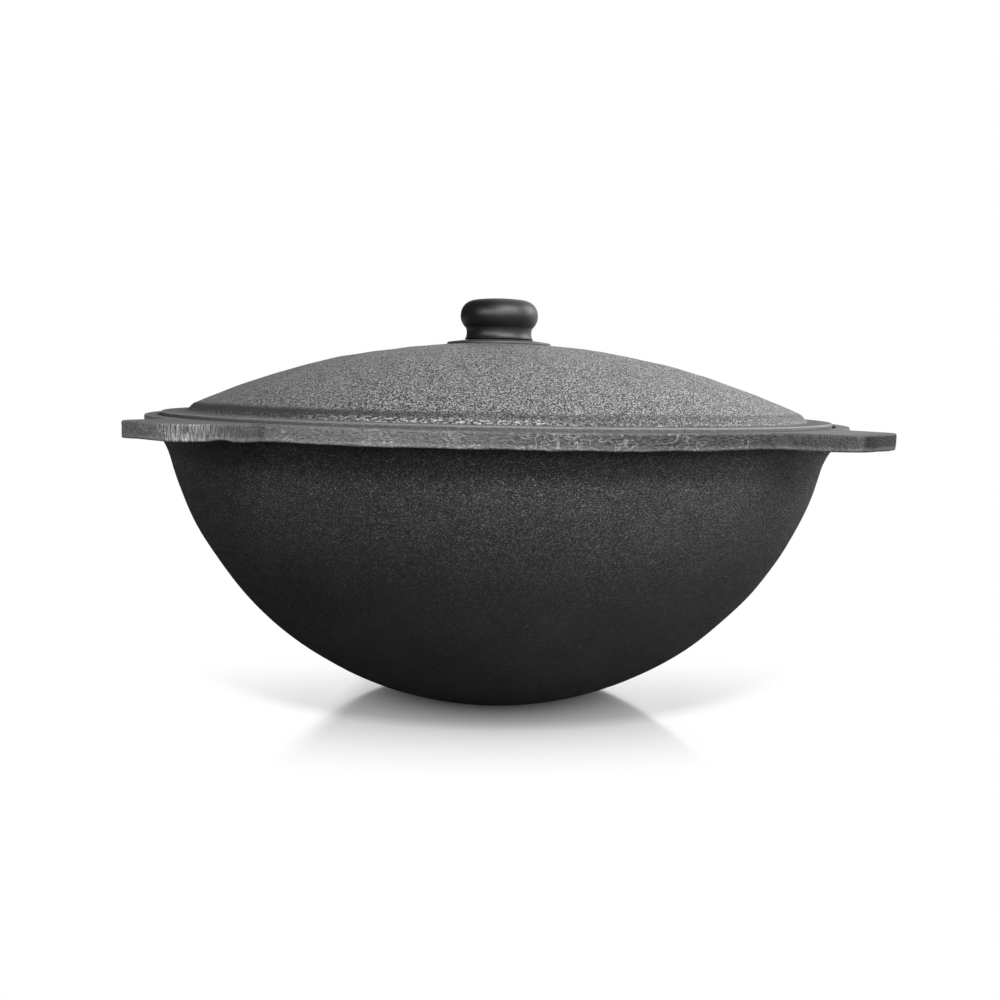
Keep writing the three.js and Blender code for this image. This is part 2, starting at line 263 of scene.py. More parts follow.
def lug_round(circle, side):
    """Centre of the rounding that touches a circle about the axis and the flank of a lug along +X."""
    along = np.array([math.cos(LUG_TAPER), -math.sin(LUG_TAPER)])
    out = np.array([math.sin(LUG_TAPER), math.cos(LUG_TAPER)])
    start = np.array([RIM_RADIUS, LUG_HALF_WIDTH]) + side * LUG_ROUND * out
    half = start @ along
    travel = -half + math.sqrt(half**2 - start @ start + (circle + side * LUG_ROUND) ** 2)
    return start + travel * along


def arc(centre, radius, start, end, steps):
    """Points of a circle: centre + radius (cos a, sin a), with a from start to end."""
    a = np.linspace(start, end, steps)
    return np.asarray(centre) + radius * np.stack([np.cos(a), np.sin(a)], 1)


corner_at = lug_round(RIM_RADIUS + LUG_REACH, -1)
root_at = lug_round(RIM_RADIUS, 1)
corner_bearing = math.atan2(*corner_at[::-1])
root_bearing = math.atan2(*root_at[::-1])
flank_turn = math.pi / 2 - LUG_TAPER
lug_corner = arc(corner_at, LUG_ROUND, corner_bearing, flank_turn, 10)
lug_root = arc(root_at, LUG_ROUND, flank_turn - math.pi, root_bearing - math.pi, 12)
half_lug = np.concatenate([
    arc((0, 0), RIM_RADIUS + LUG_REACH, 0, corner_bearing, 9),
    lug_corner[1:],
    np.linspace(lug_corner[-1], lug_root[0], 13)[1:-1],
    lug_root,
    arc((0, 0), RIM_RADIUS, root_bearing, math.pi / LUGS, 36)[1:],
])
print(len(half_lug), "points on half a lug and the rim beside it")

# %% [markdown]
# The half is turned into bearings and reaches, mirrored, and set out four times. A Mirror and an Array
# modifier could do that to a mesh, but here only two rows of numbers are repeated. The bearings then serve
# as the columns of the pot's grid, so that its faces follow the corners of the lugs.

# %% Plan of the whole rim
half_bearing = np.arctan2(half_lug[:, 1], half_lug[:, 0])
half_reach = np.hypot(half_lug[:, 0], half_lug[:, 1]) - RIM_RADIUS
lug_bearing = np.concatenate([-half_bearing[:0:-1], half_bearing[:-1]])
lug_middle = math.pi / LUGS + 2 * math.pi / LUGS * np.arange(LUGS)
bearing = (lug_middle[:, None] + lug_bearing).ravel()
reach = np.tile(np.concatenate([half_reach[:0:-1], half_reach[:-1]]), LUGS)
print(len(bearing), "columns round the pot, lugs reach", round(float(reach.max()), 2), "mm")

# %% [markdown]
# The pot is one casting: a bowl on a small flat pad, a cove under the rim, the ground edge of the rim and
# its lugs, a recess that seats the lid, and the inside of the bowl. Each could be a piece of its own, but a
# casting has no joints, so one profile runs from the middle of the pad, up the outside, over the rim and
# down to the middle of the inside. A share in each corner says how much of the lugs' reach it takes. The
# walls come first: both are parts of ellipses, and the cove is a quarter round added to the outer one.

# %% Walls of the bowl
RIM_TOP = 156.5
RIM_UNDER = 149.3
SEAT = 153.7
EQUATOR = 175.9
OUTSIDE_RADIUS, OUTSIDE_HALF_HEIGHT = 182.3, 179.23
INSIDE_RADIUS, INSIDE_HALF_HEIGHT = 177.3, 169.9
PAD_RADIUS, PAD_THICKNESS = 35, 6
WALL_START = 0.3
COVE_OUT, COVE_DOWN = 8.4, 16


def wall(radius, half_height, start, end, steps):
    """Ellipse about the axis: r = radius sin a, z = equator - half_height cos a, between two heights."""
    ends = np.arccos((EQUATOR - np.array([start, end])) / half_height)
    a = np.linspace(*ends, steps)
    return np.stack([radius * np.sin(a), EQUATOR - half_height * np.cos(a)], 1)


cove_start = RIM_UNDER - COVE_DOWN
outside = wall(OUTSIDE_RADIUS, OUTSIDE_HALF_HEIGHT, WALL_START, cove_start, 52)
under = wall(OUTSIDE_RADIUS, OUTSIDE_HALF_HEIGHT, cove_start, RIM_UNDER, 15)[1:]
under[:, 0] += COVE_OUT * (1 - np.sqrt(1 - (1 - (RIM_UNDER - under[:, 1]) / COVE_DOWN) ** 2))
inside = wall(INSIDE_RADIUS, INSIDE_HALF_HEIGHT, SEAT, PAD_THICKNESS + 0.02, 44)
print(len(outside), "points up the outside,", len(under), "in the cove,", len(inside), "down the inside")

# %% [markdown]
# Now the runs are joined in order, and the sharp corners of the rim and the recess are rounded. The rows
# along the rim are closer together, because its edge carries the finest marks of the whole pot.

# %% Pot's profile
MOUTH_RADIUS, RECESS_RADIUS = 175.78, 182.78
EDGE = 0.9
BAND_INSET = 1.2
PAD_INNER, PAD_MIDDLE, PAD_EDGE = 8, 22, 2.5
RECESS_EDGE, RECESS_ROOT, MOUTH_EDGE = 0.5, 0.6, 0.8


def shared(points, share=0.0, cut=0.0):
    """Points (r, z) as corners (r, z, share, cut)."""
    ones = np.ones(len(points))
    return np.column_stack([points, share * ones, cut * ones])


def over_lug(start, end):
    """Unrounded corners of a straight run (r, z, share) with enough rows for the width of a lug."""
    return plain(np.linspace(start, end, 6))


band_low = (RIM_RADIUS, RIM_UNDER + BAND_INSET)
band_high = (RIM_RADIUS, RIM_TOP - BAND_INSET)
pot_profile = rounded(np.concatenate([
    [[PAD_INNER, 0, 0, 0], [PAD_MIDDLE, 0, 0, 0], [PAD_RADIUS - 1, 0, 0, PAD_EDGE]],
    shared(outside[2:]),
    shared(under),
    over_lug((under[-1, 0] + 0.2, RIM_UNDER, 0.1), (RIM_RADIUS - 1, RIM_UNDER, 1)),
    [[RIM_RADIUS, RIM_UNDER, 1, EDGE]],
    shared(np.linspace(band_low, band_high, 5), 1),
    [[RIM_RADIUS, RIM_TOP, 1, EDGE]],
    over_lug((RIM_RADIUS - 1, RIM_TOP, 1), (RECESS_RADIUS + 0.6, RIM_TOP, 0)),
    [[RECESS_RADIUS, RIM_TOP, 0, RECESS_EDGE], [RECESS_RADIUS, SEAT, 0, RECESS_ROOT]],
    [[MOUTH_RADIUS, SEAT, 0, MOUTH_EDGE]],
    shared(inside[1:]),
]), 6)
base_r, base_z, share = pot_profile.T
top_row = int(np.argmax(base_z > RIM_TOP - 1e-6))
seat_row = len(base_z) - 1 - int(np.argmax(base_z[::-1] > SEAT - 1e-6))
print(len(pot_profile), "rows on the pot, rim's top from row", top_row, "inside from row", seat_row)

# %% [markdown]
# Sand casting leaves the wall a little wavy, and the grinder leaves the edge of the rim a little uneven,
# with one chip. A bump in the finish could suggest that, but it is real shape that shows on the outline,
# so the points themselves move: the wall by fractions of a millimetre along its radius, the lower edge of
# the rim up and down. The seat of the lid and the pad stay true.

# %% Pot, uneven as cast
WALL_WAVES = ((0.22, 70, 3), (0.10, 26, 4))
GRIND_WAVES = ((0.18, 40, 5), (0.07, 12, 6))
EDGE_WAVES = ((0.14, 34, 7), (0.05, 9, 8))
CHIP_BEARING, CHIP_DEPTH, CHIP_HALF_WIDTH = math.radians(233.1), 0.8, 1.7
PAD_FADE, COVE_FADE = (3, 25), (RIM_UNDER - 14, RIM_UNDER - 1)
BOTTOM_FADE, SEAT_FADE = (8, 30), (SEAT - 14, SEAT - 3)
EDGE_FADE, UNDER_FADE = (RIM_RADIUS - 1.5, RIM_RADIUS - 0.3), (RIM_UNDER, RIM_UNDER + 3)

row = np.arange(len(base_z))
full_share = share > 0.99
outer = (row < top_row) * step(base_z, *PAD_FADE) * (1 - step(base_z, *COVE_FADE))
inner = (row > seat_row) * step(base_z, *BOTTOM_FADE) * (1 - step(base_z, *SEAT_FADE))
edge = full_share * step(base_r, *EDGE_FADE)
low_edge = step(share, 0.3, 1) * (1 - step(base_z, *UNDER_FADE)) * (row < top_row)

true_r = base_r[:, None] + share[:, None] * reach
true_points = np.stack(np.broadcast_arrays(
    true_r * np.cos(bearing), true_r * np.sin(bearing), base_z[:, None]), -1)
pot_r = true_r + (outer + inner)[:, None] * layered(true_points, WALL_WAVES)
pot_r = pot_r + edge[:, None] * layered(true_points, GRIND_WAVES)
chip = CHIP_DEPTH * np.exp(-((bearing - CHIP_BEARING) * RIM_RADIUS / CHIP_HALF_WIDTH) ** 4)
pot_z = base_z[:, None] + low_edge[:, None] * (layered(true_points, EDGE_WAVES) + chip)
pot_points = np.stack([pot_r * np.cos(bearing), pot_r * np.sin(bearing), pot_z], -1)
print("wall and edge depart by up to", round(float(np.abs(pot_r - true_r).max()), 2), "mm")

# %% [markdown]
# The finish has to know where the rim was ground, where a lug's tip, corner and flank lie, how the tone
# runs round the rim, partly from the grinding and partly as painted light, and where a painted highlight
# streak lies. Painting that by hand in Texture Paint would work, but masks worked out from the profile and
# the bearing follow every change of shape. Each is an attribute on the points.

# %% Pot's masks
ROOT_FROM, ROOT_TO = 0.2, 2
FLANK_FROM, FLANK_TO = 20, 24
TIP_FROM, TIP_TO = 28.6, 29.3
WORN_LOW, WORN_HIGH = 0.6, 0.7
GAP_SHADE_HALF_WIDTH = 0.9
GLEAM_BEARING, GLEAM_HALF_WIDTH = math.radians(229.8), 8.5
# Tones round the rim: partly uneven grinding, partly painted light, lighter left of the front.
GRIND_BEARINGS = (0, 200, 228, 229, 231.5, 233, 236, 237, 242, 253, 265, 288, 306, 310, 328, 360)
GRIND_AND_LIGHT_TONES = (0.8, 1.2, 1.2, 0.7, 0.5, 0.32, 0.34, 1.1, 1.3, 1.0, 0.70, 0.42, 0.34, 0.52, 0.42, 0.8)

corner_low = np.exp(-((base_z - RIM_UNDER - EDGE) / WORN_LOW) ** 2) * full_share * (row < top_row)
corner_high = np.exp(-((base_z - RIM_TOP) / WORN_HIGH) ** 2)
corner_high = corner_high * step(base_r, RIM_RADIUS - 1.6, RIM_RADIUS - 0.4)
at_tip = step(reach, TIP_FROM, TIP_TO)
past_flank = step(reach, FLANK_FROM, FLANK_TO)
# Painted shade: the tips are darkened, most at the right front and not at all at the left back.
shaded_tip = np.clip(0.05 + 0.92 * np.cos(bearing + math.pi / 4), 0, 1)
recess_side = RECESS_RADIUS - 0.3
on_seat = (row > top_row) & (row <= seat_row) & (base_r < recess_side)
pot_masks = {
    "ground": edge[:, None],
    "worn": (corner_low + 0.3 * corner_high)[:, None],
    "upper": ((row >= top_row) & (base_r > recess_side))[:, None] * 1.0,
    "tip": (at_tip * shaded_tip)[None],
    "corner": (past_flank * (1 - at_tip))[None],
    "flank": (step(reach, ROOT_FROM, ROOT_TO) * (1 - past_flank))[None],
    # painted highlight: a bright streak on one flank of the left front lug
    "gleam_streak": np.exp(-(((bearing - GLEAM_BEARING) * RIM_RADIUS / GLEAM_HALF_WIDTH) ** 2))[None],
    "grind_and_light": np.interp(np.degrees(bearing) % 360, GRIND_BEARINGS, GRIND_AND_LIGHT_TONES)[None],
    # gap: painted shade in the joint round the lid
    "gap": (np.exp(-((base_r - RECESS_RADIUS) / GAP_SHADE_HALF_WIDTH) ** 2) * (row > top_row))[:, None],
    "seat": on_seat[:, None] * 1.0,
}
print("masks on the pot:", ", ".join(pot_masks))

# %% [markdown]
# The grid becomes the mesh of the pot. Its map counts lengths round the outline of the rim and along the
# profile, so that scratches keep their size round the lugs. The mesh rides on the body of the pot and hides
# the plain solid.

# %% Pot
rim_outline = np.stack([(RIM_RADIUS + reach) * np.cos(bearing), (RIM_RADIUS + reach) * np.sin(bearing)], 1)
pot = put_grid("pot_casting", pot_points, closed_lengths(rim_outline), lengths(pot_profile[:, :2]),
               pot_masks, poles=(0, PAD_THICKNESS))
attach(pot, "pot")
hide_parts("pot")

# %% [markdown]
# The lid is a second casting: a flat ring that drops into the recess, a steep rounded shoulder, and a
# shallow dome, hollow underneath, with a flat for the knob and a hole for its screw. A dome with a Solidify
# modifier would have an even wall, but not the flats, so the whole section is drawn. Its profile is closed,
# from the foot of the hollow out under the ring, over the dome, down the hole and back.

# %% Lid's profile
REST_GAP = 0.1
LID_PLAY = 1.3
LID_LEVEL = SEAT + REST_GAP
LID_RADIUS = RECESS_RADIUS - LID_PLAY
RING, RING_WIDTH = 4.5, 12.6
FOOT_RADIUS = LID_RADIUS - RING_WIDTH
SHOULDER = 4.2
DOME_RISE = 39.6
LID_WALL = 5
HOLE = 3.3
FLAT_RADIUS, SPOT_RADIUS = 30.0, 7.7

brow = FOOT_RADIUS - SHOULDER
sag = DOME_RISE - SHOULDER
dome_radius = (brow**2 + sag**2) / (2 * sag)
dome_centre = RING + DOME_RISE - dome_radius


def dome(radius, start, end, steps):
    """Arc of the dome about its centre on the axis: r = radius sin a, z = centre + radius cos a."""
    a = np.linspace(math.asin(start / radius), math.asin(end / radius), steps)
    return np.stack([radius * np.sin(a), dome_centre + radius * np.cos(a)], 1)


shoulder_pull = (brow + 0.4 * SHOULDER, RING + 0.9 * SHOULDER)
shoulder = bezier([(FOOT_RADIUS, RING), shoulder_pull, (brow, RING + SHOULDER)], 9)
over = dome(dome_radius, brow, FLAT_RADIUS, 62)
hollow = dome(dome_radius - LID_WALL, SPOT_RADIUS, brow - LID_WALL, 44)
lid_profile = rounded(np.concatenate([
    [[brow - LID_WALL + 0.5, 0, 0], [LID_RADIUS, 0, 0.8]],
    plain(np.linspace((LID_RADIUS, 1.2), (LID_RADIUS, RING - 1), 7)),
    [[LID_RADIUS, RING, EDGE], [LID_RADIUS - 2, RING, 0]],
    [[FOOT_RADIUS + 2, RING, 0], [FOOT_RADIUS + 0.8, RING, 0]],
    plain(shoulder),
    plain(over[1:]),
    [[HOLE + 0.3, over[-1, 1], 0], [HOLE, over[-1, 1] - 0.3, 0], [HOLE, hollow[0, 1] + 0.3, 0]],
    plain(hollow),
    [[brow - LID_WALL, 0.5, 0]],
]), 4)
lid_r, lid_z = lid_profile.T
print(len(lid_profile), "rows on the lid, radius of the dome", round(dome_radius), "mm")

# %% [markdown]
# The profile is turned about the axis, and the dome gets its waves, which fade out towards the ring and the
# knob's flat. The lid's masks tell the finish where the ring, the shoulder, its foot and the edges are. The
# shoulder is painted darker as shade, most on its left side. The foot carries a painted highlight that is
# brightest on a short stretch at the front. The lower side of the ring carries a painted shade in the gap,
# and its outer edge a painted highlight.

# %% Lid
LID_COLUMNS = 480
LID_WAVES = ((0.16, 55, 11), (0.07, 20, 12))
SHADE_FROM, SHADE_UNTIL = (70, 130), (230, 268)
FOOT_GLEAM_BEARING, FOOT_GLEAM_HALF_WIDTH = 257, 17


def turned(profile_r, profile_z, level, bearings):
    """Points of a turned piece: (r cos b, r sin b, level + z)."""
    return np.stack(np.broadcast_arrays(
        profile_r[:, None] * np.cos(bearings), profile_r[:, None] * np.sin(bearings),
        level + profile_z[:, None]), -1)


turn = np.linspace(0, 2 * np.pi, LID_COLUMNS, endpoint=False)
lid_points = turned(lid_r, lid_z, LID_LEVEL, turn)
on_dome = step(lid_z, RING + 1, RING + SHOULDER + 4) * step(lid_r, FLAT_RADIUS + 2, FLAT_RADIUS + 20)
lid_points[..., 2] += on_dome[:, None] * layered(lid_points, LID_WAVES)

degrees = np.degrees(turn)
# Painted shade: the shoulder is darker on its left side, away from the light.
shaded_side = step(degrees, *SHADE_FROM) * (1 - step(degrees, *SHADE_UNTIL))
# Painted highlight on the foot, brightest on a short stretch at the front.
foot_gleam = 0.2 + 0.8 * np.exp(-((degrees - FOOT_GLEAM_BEARING) / FOOT_GLEAM_HALF_WIDTH) ** 4)
on_top = np.arange(len(lid_r)) <= len(lid_r) - len(hollow) - 2
shoulder_rows = step(lid_r, brow - 2, brow + 1) * (1 - step(lid_r, FOOT_RADIUS - 0.5, FOOT_RADIUS)) * on_top
foot_rows = np.exp(-((lid_r - FOOT_RADIUS + 0.7) / 0.9) ** 2) * (lid_z > 1)
# Painted shade: the lower side of the ring, in the gap, is darkened.
gap_shade_rows = step(lid_r, LID_RADIUS - 0.4, LID_RADIUS - 0.1) * (1 - step(lid_z, RING - 2.2, RING - 1.7))
# Painted highlight: the outer edge of the ring is coloured lighter.
edge_gleam_rows = step(lid_r, LID_RADIUS - 1.3, LID_RADIUS - 0.5) * step(lid_z, RING - 0.7, RING - 0.3)
lid_masks = {
    "ring": (step(lid_r, FOOT_RADIUS - 0.6, FOOT_RADIUS + 0.8) * on_top)[:, None],
    "shoulder": shoulder_rows[:, None] * (0.5 + 0.5 * shaded_side),
    "foot": foot_rows[:, None] * foot_gleam,
    "side": gap_shade_rows[:, None],
    "edge": edge_gleam_rows[:, None],
}
lid_u = np.append(turn, 2 * np.pi) * LID_RADIUS
lid = put_grid("lid_casting", lid_points, lid_u, closed_lengths(lid_profile), lid_masks)
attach(lid, "lid")
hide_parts("lid")

# %% [markdown]
# The knob is a moulding: a flared neck, a rounded head with a low crown, and a bore underneath for the
# threaded insert. A subdivided cage could be pushed into that shape by eye, but three Bezier curves for
# its side and one for its crown keep every measure, as a designer would draw it.

# %% Knob
KNOB_COLUMNS = 128
DISC_RADIUS, DISC_EDGE, DISC_HEIGHT = 29.2, 1.3, 2.9
DISC_LEVEL = LID_LEVEL + float(over[-1, 1]) + REST_GAP
KNOB_LEVEL = DISC_LEVEL + DISC_HEIGHT + REST_GAP
KNOB_RADIUS, NECK_RADIUS, KNOB_FOOT = 21.8, 18.0, 19.3
KNOB_HEIGHT, HEAD_HEIGHT, CROWN = 22.9, 16.2, 0.9
CROWN_RADIUS = 13.5
BORE_RADIUS, BORE_DEPTH = 5.7, 14.7

neck = KNOB_HEIGHT - HEAD_HEIGHT
overhang = KNOB_RADIUS - NECK_RADIUS
lip = (NECK_RADIUS + 0.25 * overhang, neck)
belly = (KNOB_RADIUS, neck + 0.4 * HEAD_HEIGHT)
brim = (CROWN_RADIUS, KNOB_HEIGHT - CROWN)
knob_sides = np.concatenate([
    bezier([(KNOB_FOOT, 0.5), (NECK_RADIUS, 0.2 * neck), (NECK_RADIUS, 0.8 * neck), lip], 18),
    bezier([lip, (NECK_RADIUS + 0.85 * overhang, neck + 0.14 * HEAD_HEIGHT),
            (KNOB_RADIUS, belly[1] - 0.12 * HEAD_HEIGHT), belly], 18)[1:],
    bezier([belly, (KNOB_RADIUS, belly[1] + 0.36 * HEAD_HEIGHT),
            (CROWN_RADIUS + 0.5 * (KNOB_RADIUS - CROWN_RADIUS), brim[1] - 0.2 * CROWN), brim], 22)[1:],
    bezier([brim, (CROWN_RADIUS / 2, KNOB_HEIGHT), (0.8, KNOB_HEIGHT)], 14)[1:],
])
knob_profile = rounded(np.concatenate([
    [[1, BORE_DEPTH, 0], [BORE_RADIUS, BORE_DEPTH, 0.3], [BORE_RADIUS, 0, 0.3], [KNOB_FOOT - 0.5, 0, 0.3]],
    plain(knob_sides),
]), 3)
knob_turn = np.linspace(0, 2 * np.pi, KNOB_COLUMNS, endpoint=False)
knob_u = np.append(knob_turn, 2 * np.pi) * KNOB_RADIUS
knob = put_grid("knob_moulding", turned(*knob_profile.T, KNOB_LEVEL, knob_turn), knob_u,
                lengths(knob_profile), {}, poles=(KNOB_LEVEL + BORE_DEPTH, KNOB_LEVEL + KNOB_HEIGHT))

# %% [markdown]
# Under the knob lies a thin disc with a low cone on top, which spreads the pull of the screw over the iron.
# It is turned like the lid, from a closed profile round its hole. Knob and disc ride on the lid.

# %% Disc under the knob
disc_profile = rounded([
    [HOLE + 0.1, 0, 0], [DISC_RADIUS, 0, 0.3], [DISC_RADIUS, DISC_EDGE, 0.6],
    [KNOB_FOOT + 0.6, DISC_HEIGHT - 0.25, 0.6], [HOLE + 0.1, DISC_HEIGHT, 0], [HOLE, DISC_HEIGHT / 2, 0],
], 1.5)
disc = put_grid("knob_disc_moulding", turned(*disc_profile.T, DISC_LEVEL, knob_turn), knob_u,
                closed_lengths(disc_profile), {})
for piece, node, name in ((knob, "knob", "knob_plastic"), (disc, "knob_base_disc", "disc_plastic")):
    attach(piece, "lid")
    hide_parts(node)

# %% [markdown]
# Finishes are node trees. They could be wired by hand in the Shader Editor, but a tree of forty nodes is
# hard to read there. So one small class wraps a socket: sums and products of wires add Math nodes by
# themselves, and one method adds any other node.

# %% Shader wires
class Wire:
    """A socket of a node tree. Arithmetic on it adds Math nodes, and add() adds any other node."""

    def __init__(self, tree, socket=None):
        self.tree = tree
        self.socket = socket

    def add(self, kind, settings=None, inputs=None, output=0):
        """Add a node of one kind, with its settings and then its sockets, and wire one output."""
        node = self.tree.nodes.new(kind)
        for name, value in (settings or {}).items():
            setattr(node, name, value)
        for name, value in (inputs or {}).items():
            if isinstance(value, Wire):
                self.tree.links.new(value.socket, node.inputs[name])
            else:
                node.inputs[name].default_value = value
        return Wire(self.tree, node.outputs[output]) if len(node.outputs) else node

    def math(self, operation, *values):
        """Add a Math node with one operation on wires and numbers."""
        return self.add("ShaderNodeMath", {"operation": operation}, dict(enumerate(values)))

    def __add__(self, other):
        return self.math("ADD", self, other)

    def __sub__(self, other):
        return self.math("SUBTRACT", self, other)

    def __rsub__(self, other):
        return self.math("SUBTRACT", other, self)

    def __mul__(self, other):
        return self.math("MULTIPLY", self, other)

    def __pow__(self, other):
        return self.math("POWER", self, other)

    __radd__ = __add__
    __rmul__ = __mul__


print("wires know", [name for name in vars(Wire) if name.startswith("__r")], "as reflected forms")

# %% [markdown]
# A few patterns return in every finish: cloudy noise, a smooth threshold, a mask from the mesh, and a space
# that is stretched, so that a round pattern becomes grain or scratches. Object coordinates hold a pattern
# fast to its piece, and the map called wrap follows the surface.

# %% Patterns
def noise(at, scale, detail=2.0, distortion=0.0, roughness=0.5):
    """Cloudy noise from 0 to 1 with features of about one part in scale of a metre."""
    return at.add("ShaderNodeTexNoise", {}, {
        "Vector": at, "Scale": scale, "Detail": detail, "Roughness": roughness, "Distortion": distortion})


def between(value, low, high):
    """0 below low and 1 above high, with a smooth change."""
    return value.add("ShaderNodeMapRange", {"interpolation_type": "SMOOTHSTEP"}, {
        "Value": value, "From Min": low, "From Max": high})


def mask(at, name):
    """A mask that a piece carries on its points."""
    return at.add("ShaderNodeAttribute", {"attribute_name": name}, {}, "Fac")


def coordinate(at, axis):
    """One coordinate of a place: X, Y or Z."""
    return at.add("ShaderNodeSeparateXYZ", {}, {0: at}, axis)


def scaled(at, x, y, z):
    """A place with each coordinate multiplied: a pattern on it is finest along the largest number."""
    return at.add("ShaderNodeMapping", {}, {"Vector": at, "Scale": (x, y, z)})


def stretched(at, along, across):
    """The piece's own map in metres, stretched: a pattern on it is fine along u and long along v."""
    wrap = at.add("ShaderNodeUVMap", {"uv_map": "wrap"})
    return at.add("ShaderNodeMapping", {}, {"Vector": wrap, "Scale": (along, across, 1)})


print("patterns ready")

# %% [markdown]
# Every finish starts with an empty tree and ends in one Principled shader: a grey with a slight tint as its
# colour, and a relief that a Bump node turns into normals. Sockets that are the same all over are plain
# numbers.

# %% Start and end of a finish
def new_finish(name):
    """A material with an empty tree, and a wire from the piece's Object coordinates."""
    material = bpy.data.materials.new(name)
    material.use_nodes = True
    material.node_tree.nodes.clear()
    return material, Wire(material.node_tree).add("ShaderNodeTexCoord", {}, {}, "Object")


def tinted(grey, tint):
    """A grey value as a colour with a slight tint."""
    return grey.add("ShaderNodeMix", {"data_type": "RGBA", "blend_type": "MULTIPLY"}, {
        0: 1.0, 6: grey, 7: (*tint, 1.0)}, 2)


def complete(at, base, rough, metallic, height, depth, sockets):
    """Principled shader with what varies, a bump of the given depth in metres, and plain sockets."""
    bump = at.add("ShaderNodeBump", {}, {"Height": height, "Distance": depth, "Strength": 1.0})
    shader = at.add("ShaderNodeBsdfPrincipled", {}, {
        "Base Color": base, "Roughness": rough, "Metallic": metallic, "Normal": bump, **sockets})
    at.add("ShaderNodeOutputMaterial", {}, {"Surface": shader})
    print("finish with", len(at.tree.nodes), "nodes")


# %% [markdown]
# The bowl is dark sand-cast iron: a fine flattened grain with painted glints on its crests, broad soft
# blotches, faint level waves, and a few bright flecks. High on the wall the tone and the glints are painted
# lighter, as the light from above falls there. Just under the rim a painted shade darkens it, less on the
# right, where the light falls. An image texture could hold that, but noise has no seams and no size.
# Tones are linear greys, where 0.02 is nearly black and 0.2 a middle grey.

# %% Cast iron of the bowl
LIT_HIGH_FROM, LIT_HIGH_TO = 0.075, 0.145
RIM_SHADE_FROM, RIM_SHADE_TO = 0.131, 0.141
RIGHT_LIT_FROM, RIGHT_LIT_TO = 0.05, 0.15
BOWL_GREY = 0.024

pot_iron, at = new_finish("pot_iron_cast")
height = coordinate(at, "Z")
# Painted light: the tone and the glints grow lighter high on the wall, where light from above falls.
high = between(height, LIT_HIGH_FROM, LIT_HIGH_TO)
# Painted shade: a darker band just under the rim, faded out on the right, where the light falls.
lit_right = between(coordinate(at, "X"), RIGHT_LIT_FROM, RIGHT_LIT_TO)
rim_shade = between(height, RIM_SHADE_FROM, RIM_SHADE_TO) * (1 - lit_right)
grain = noise(scaled(at, 1500, 1500, 4000), 1.0, 1.5, 0.7)
ripple = between(grain, 0.34, 0.66)
# Painted glints: the grain's crests are coloured lighter, as highlights.
painted_glint = between(grain, 0.48, 0.72)
waves = between(noise(scaled(at, 90, 90, 800), 1.0, 2), 0.3, 0.7)
blotch = noise(at, 45, 3)
fleck = between(noise(at, 700, 0), 0.84, 0.88)
cast_grey = BOWL_GREY + 0.012 * high + 0.016 * (blotch - 0.5) + 0.012 * (waves - 0.5) * high
cast_grey = cast_grey + (0.05 + 0.17 * high) * painted_glint + 0.05 * fleck
cast_grey = cast_grey * (1 - 0.42 * rim_shade)
print("cast iron takes", len(at.tree.nodes), "nodes")

# %% [markdown]
# The edge of the rim was ground by hand. Along the rim the wheel ran lengthwise and left drag marks and
# small curls; on the lugs it ran upright and left streaks. The tone changes with the bearing, partly as the
# grinder was set down again and again and partly as painted light, lighter left of the front and darker
# right of it. One flank carries a painted highlight streak, the lug tips are painted darker as shade and
# the flanks lighter. A Wave texture could draw such lines, but they would be too even, so noise is
# stretched along the map instead.

# %% Ground iron of the rim
RIM_GREY = 0.107

tip = mask(at, "tip")
flank = mask(at, "flank")
lug = tip + mask(at, "corner") + flank
streak = between(noise(stretched(at, 1500, 190), 1.0, 1, 0.2), 0.34, 0.66)
drag = noise(stretched(at, 420, 1500), 1.0, 2, 0.4)
mottle = noise(at, 900, 2, 0.6)
contour = at.math("ABSOLUTE", noise(at, 190, 1, 1.0) - 0.5)
patch = between(noise(at, 60, 2), 0.46, 0.56)
curl = (1 - between(contour, 0.0, 0.03)) * patch * (1 - lug)
ground_grey = RIM_GREY + 0.14 * (mottle - 0.5) * (1 - 0.5 * lug) + 0.038 * lug * (streak - 0.5)
# Painted shade darkens the lug tips, and painted light brightens the flanks.
ground_grey = ground_grey * (1 - 0.84 * tip + 0.35 * flank) * mask(at, "grind_and_light")
ground_grey = ground_grey + 0.16 * (1 - lug) * (drag - 0.5)
# A painted highlight: a bright streak on one flank of the left front lug.
ground_grey = ground_grey + 0.20 * mask(at, "gleam_streak") * streak + 0.12 * curl
print("ground iron brings them to", len(at.tree.nodes))

# %% [markdown]
# Now the two meet. The ground edge is partly bare metal, smoother and brighter, and worn most at its
# corners. The top of the rim and the seat are finer cast iron, and the joint round the lid is painted
# darker, as shade in the gap. They could be separate materials, but one material that mixes by masks has
# no hard border.

# %% Pot iron
SEAT_GREY = 0.10
DARKEST_POT = 0.008
POT_RELIEF = 0.0016
POT_TINT = (0.985, 0.99, 1.0)

ground = mask(at, "ground")
bare = at.math("MINIMUM", ground + mask(at, "upper") + mask(at, "seat"), 1.0)
pebble = noise(at, 900, 1.5, 0.5)
# Painted shade darkens the joint round the lid.
upper_grey = (SEAT_GREY + 0.10 * (pebble - 0.5)) * (1 - 0.8 * mask(at, "gap"))
grey = cast_grey * (1 - bare) + ground_grey * ground + upper_grey * (bare - ground)
grey = at.math("MAXIMUM", grey + 0.11 * mask(at, "worn") * mottle, DARKEST_POT)
rough = 0.75 - 0.2 * bare + 0.12 * (pebble - 0.5)
scratches = 0.25 * mottle + 0.15 * drag * (1 - lug) + 0.08 * streak * lug
relief = ripple * (1 - bare) + scratches * ground
complete(at, tinted(grey, POT_TINT), rough, 0.4 * ground, relief, POT_RELIEF, {"Specular IOR Level": 0.12})
pot.data.materials.append(pot_iron)

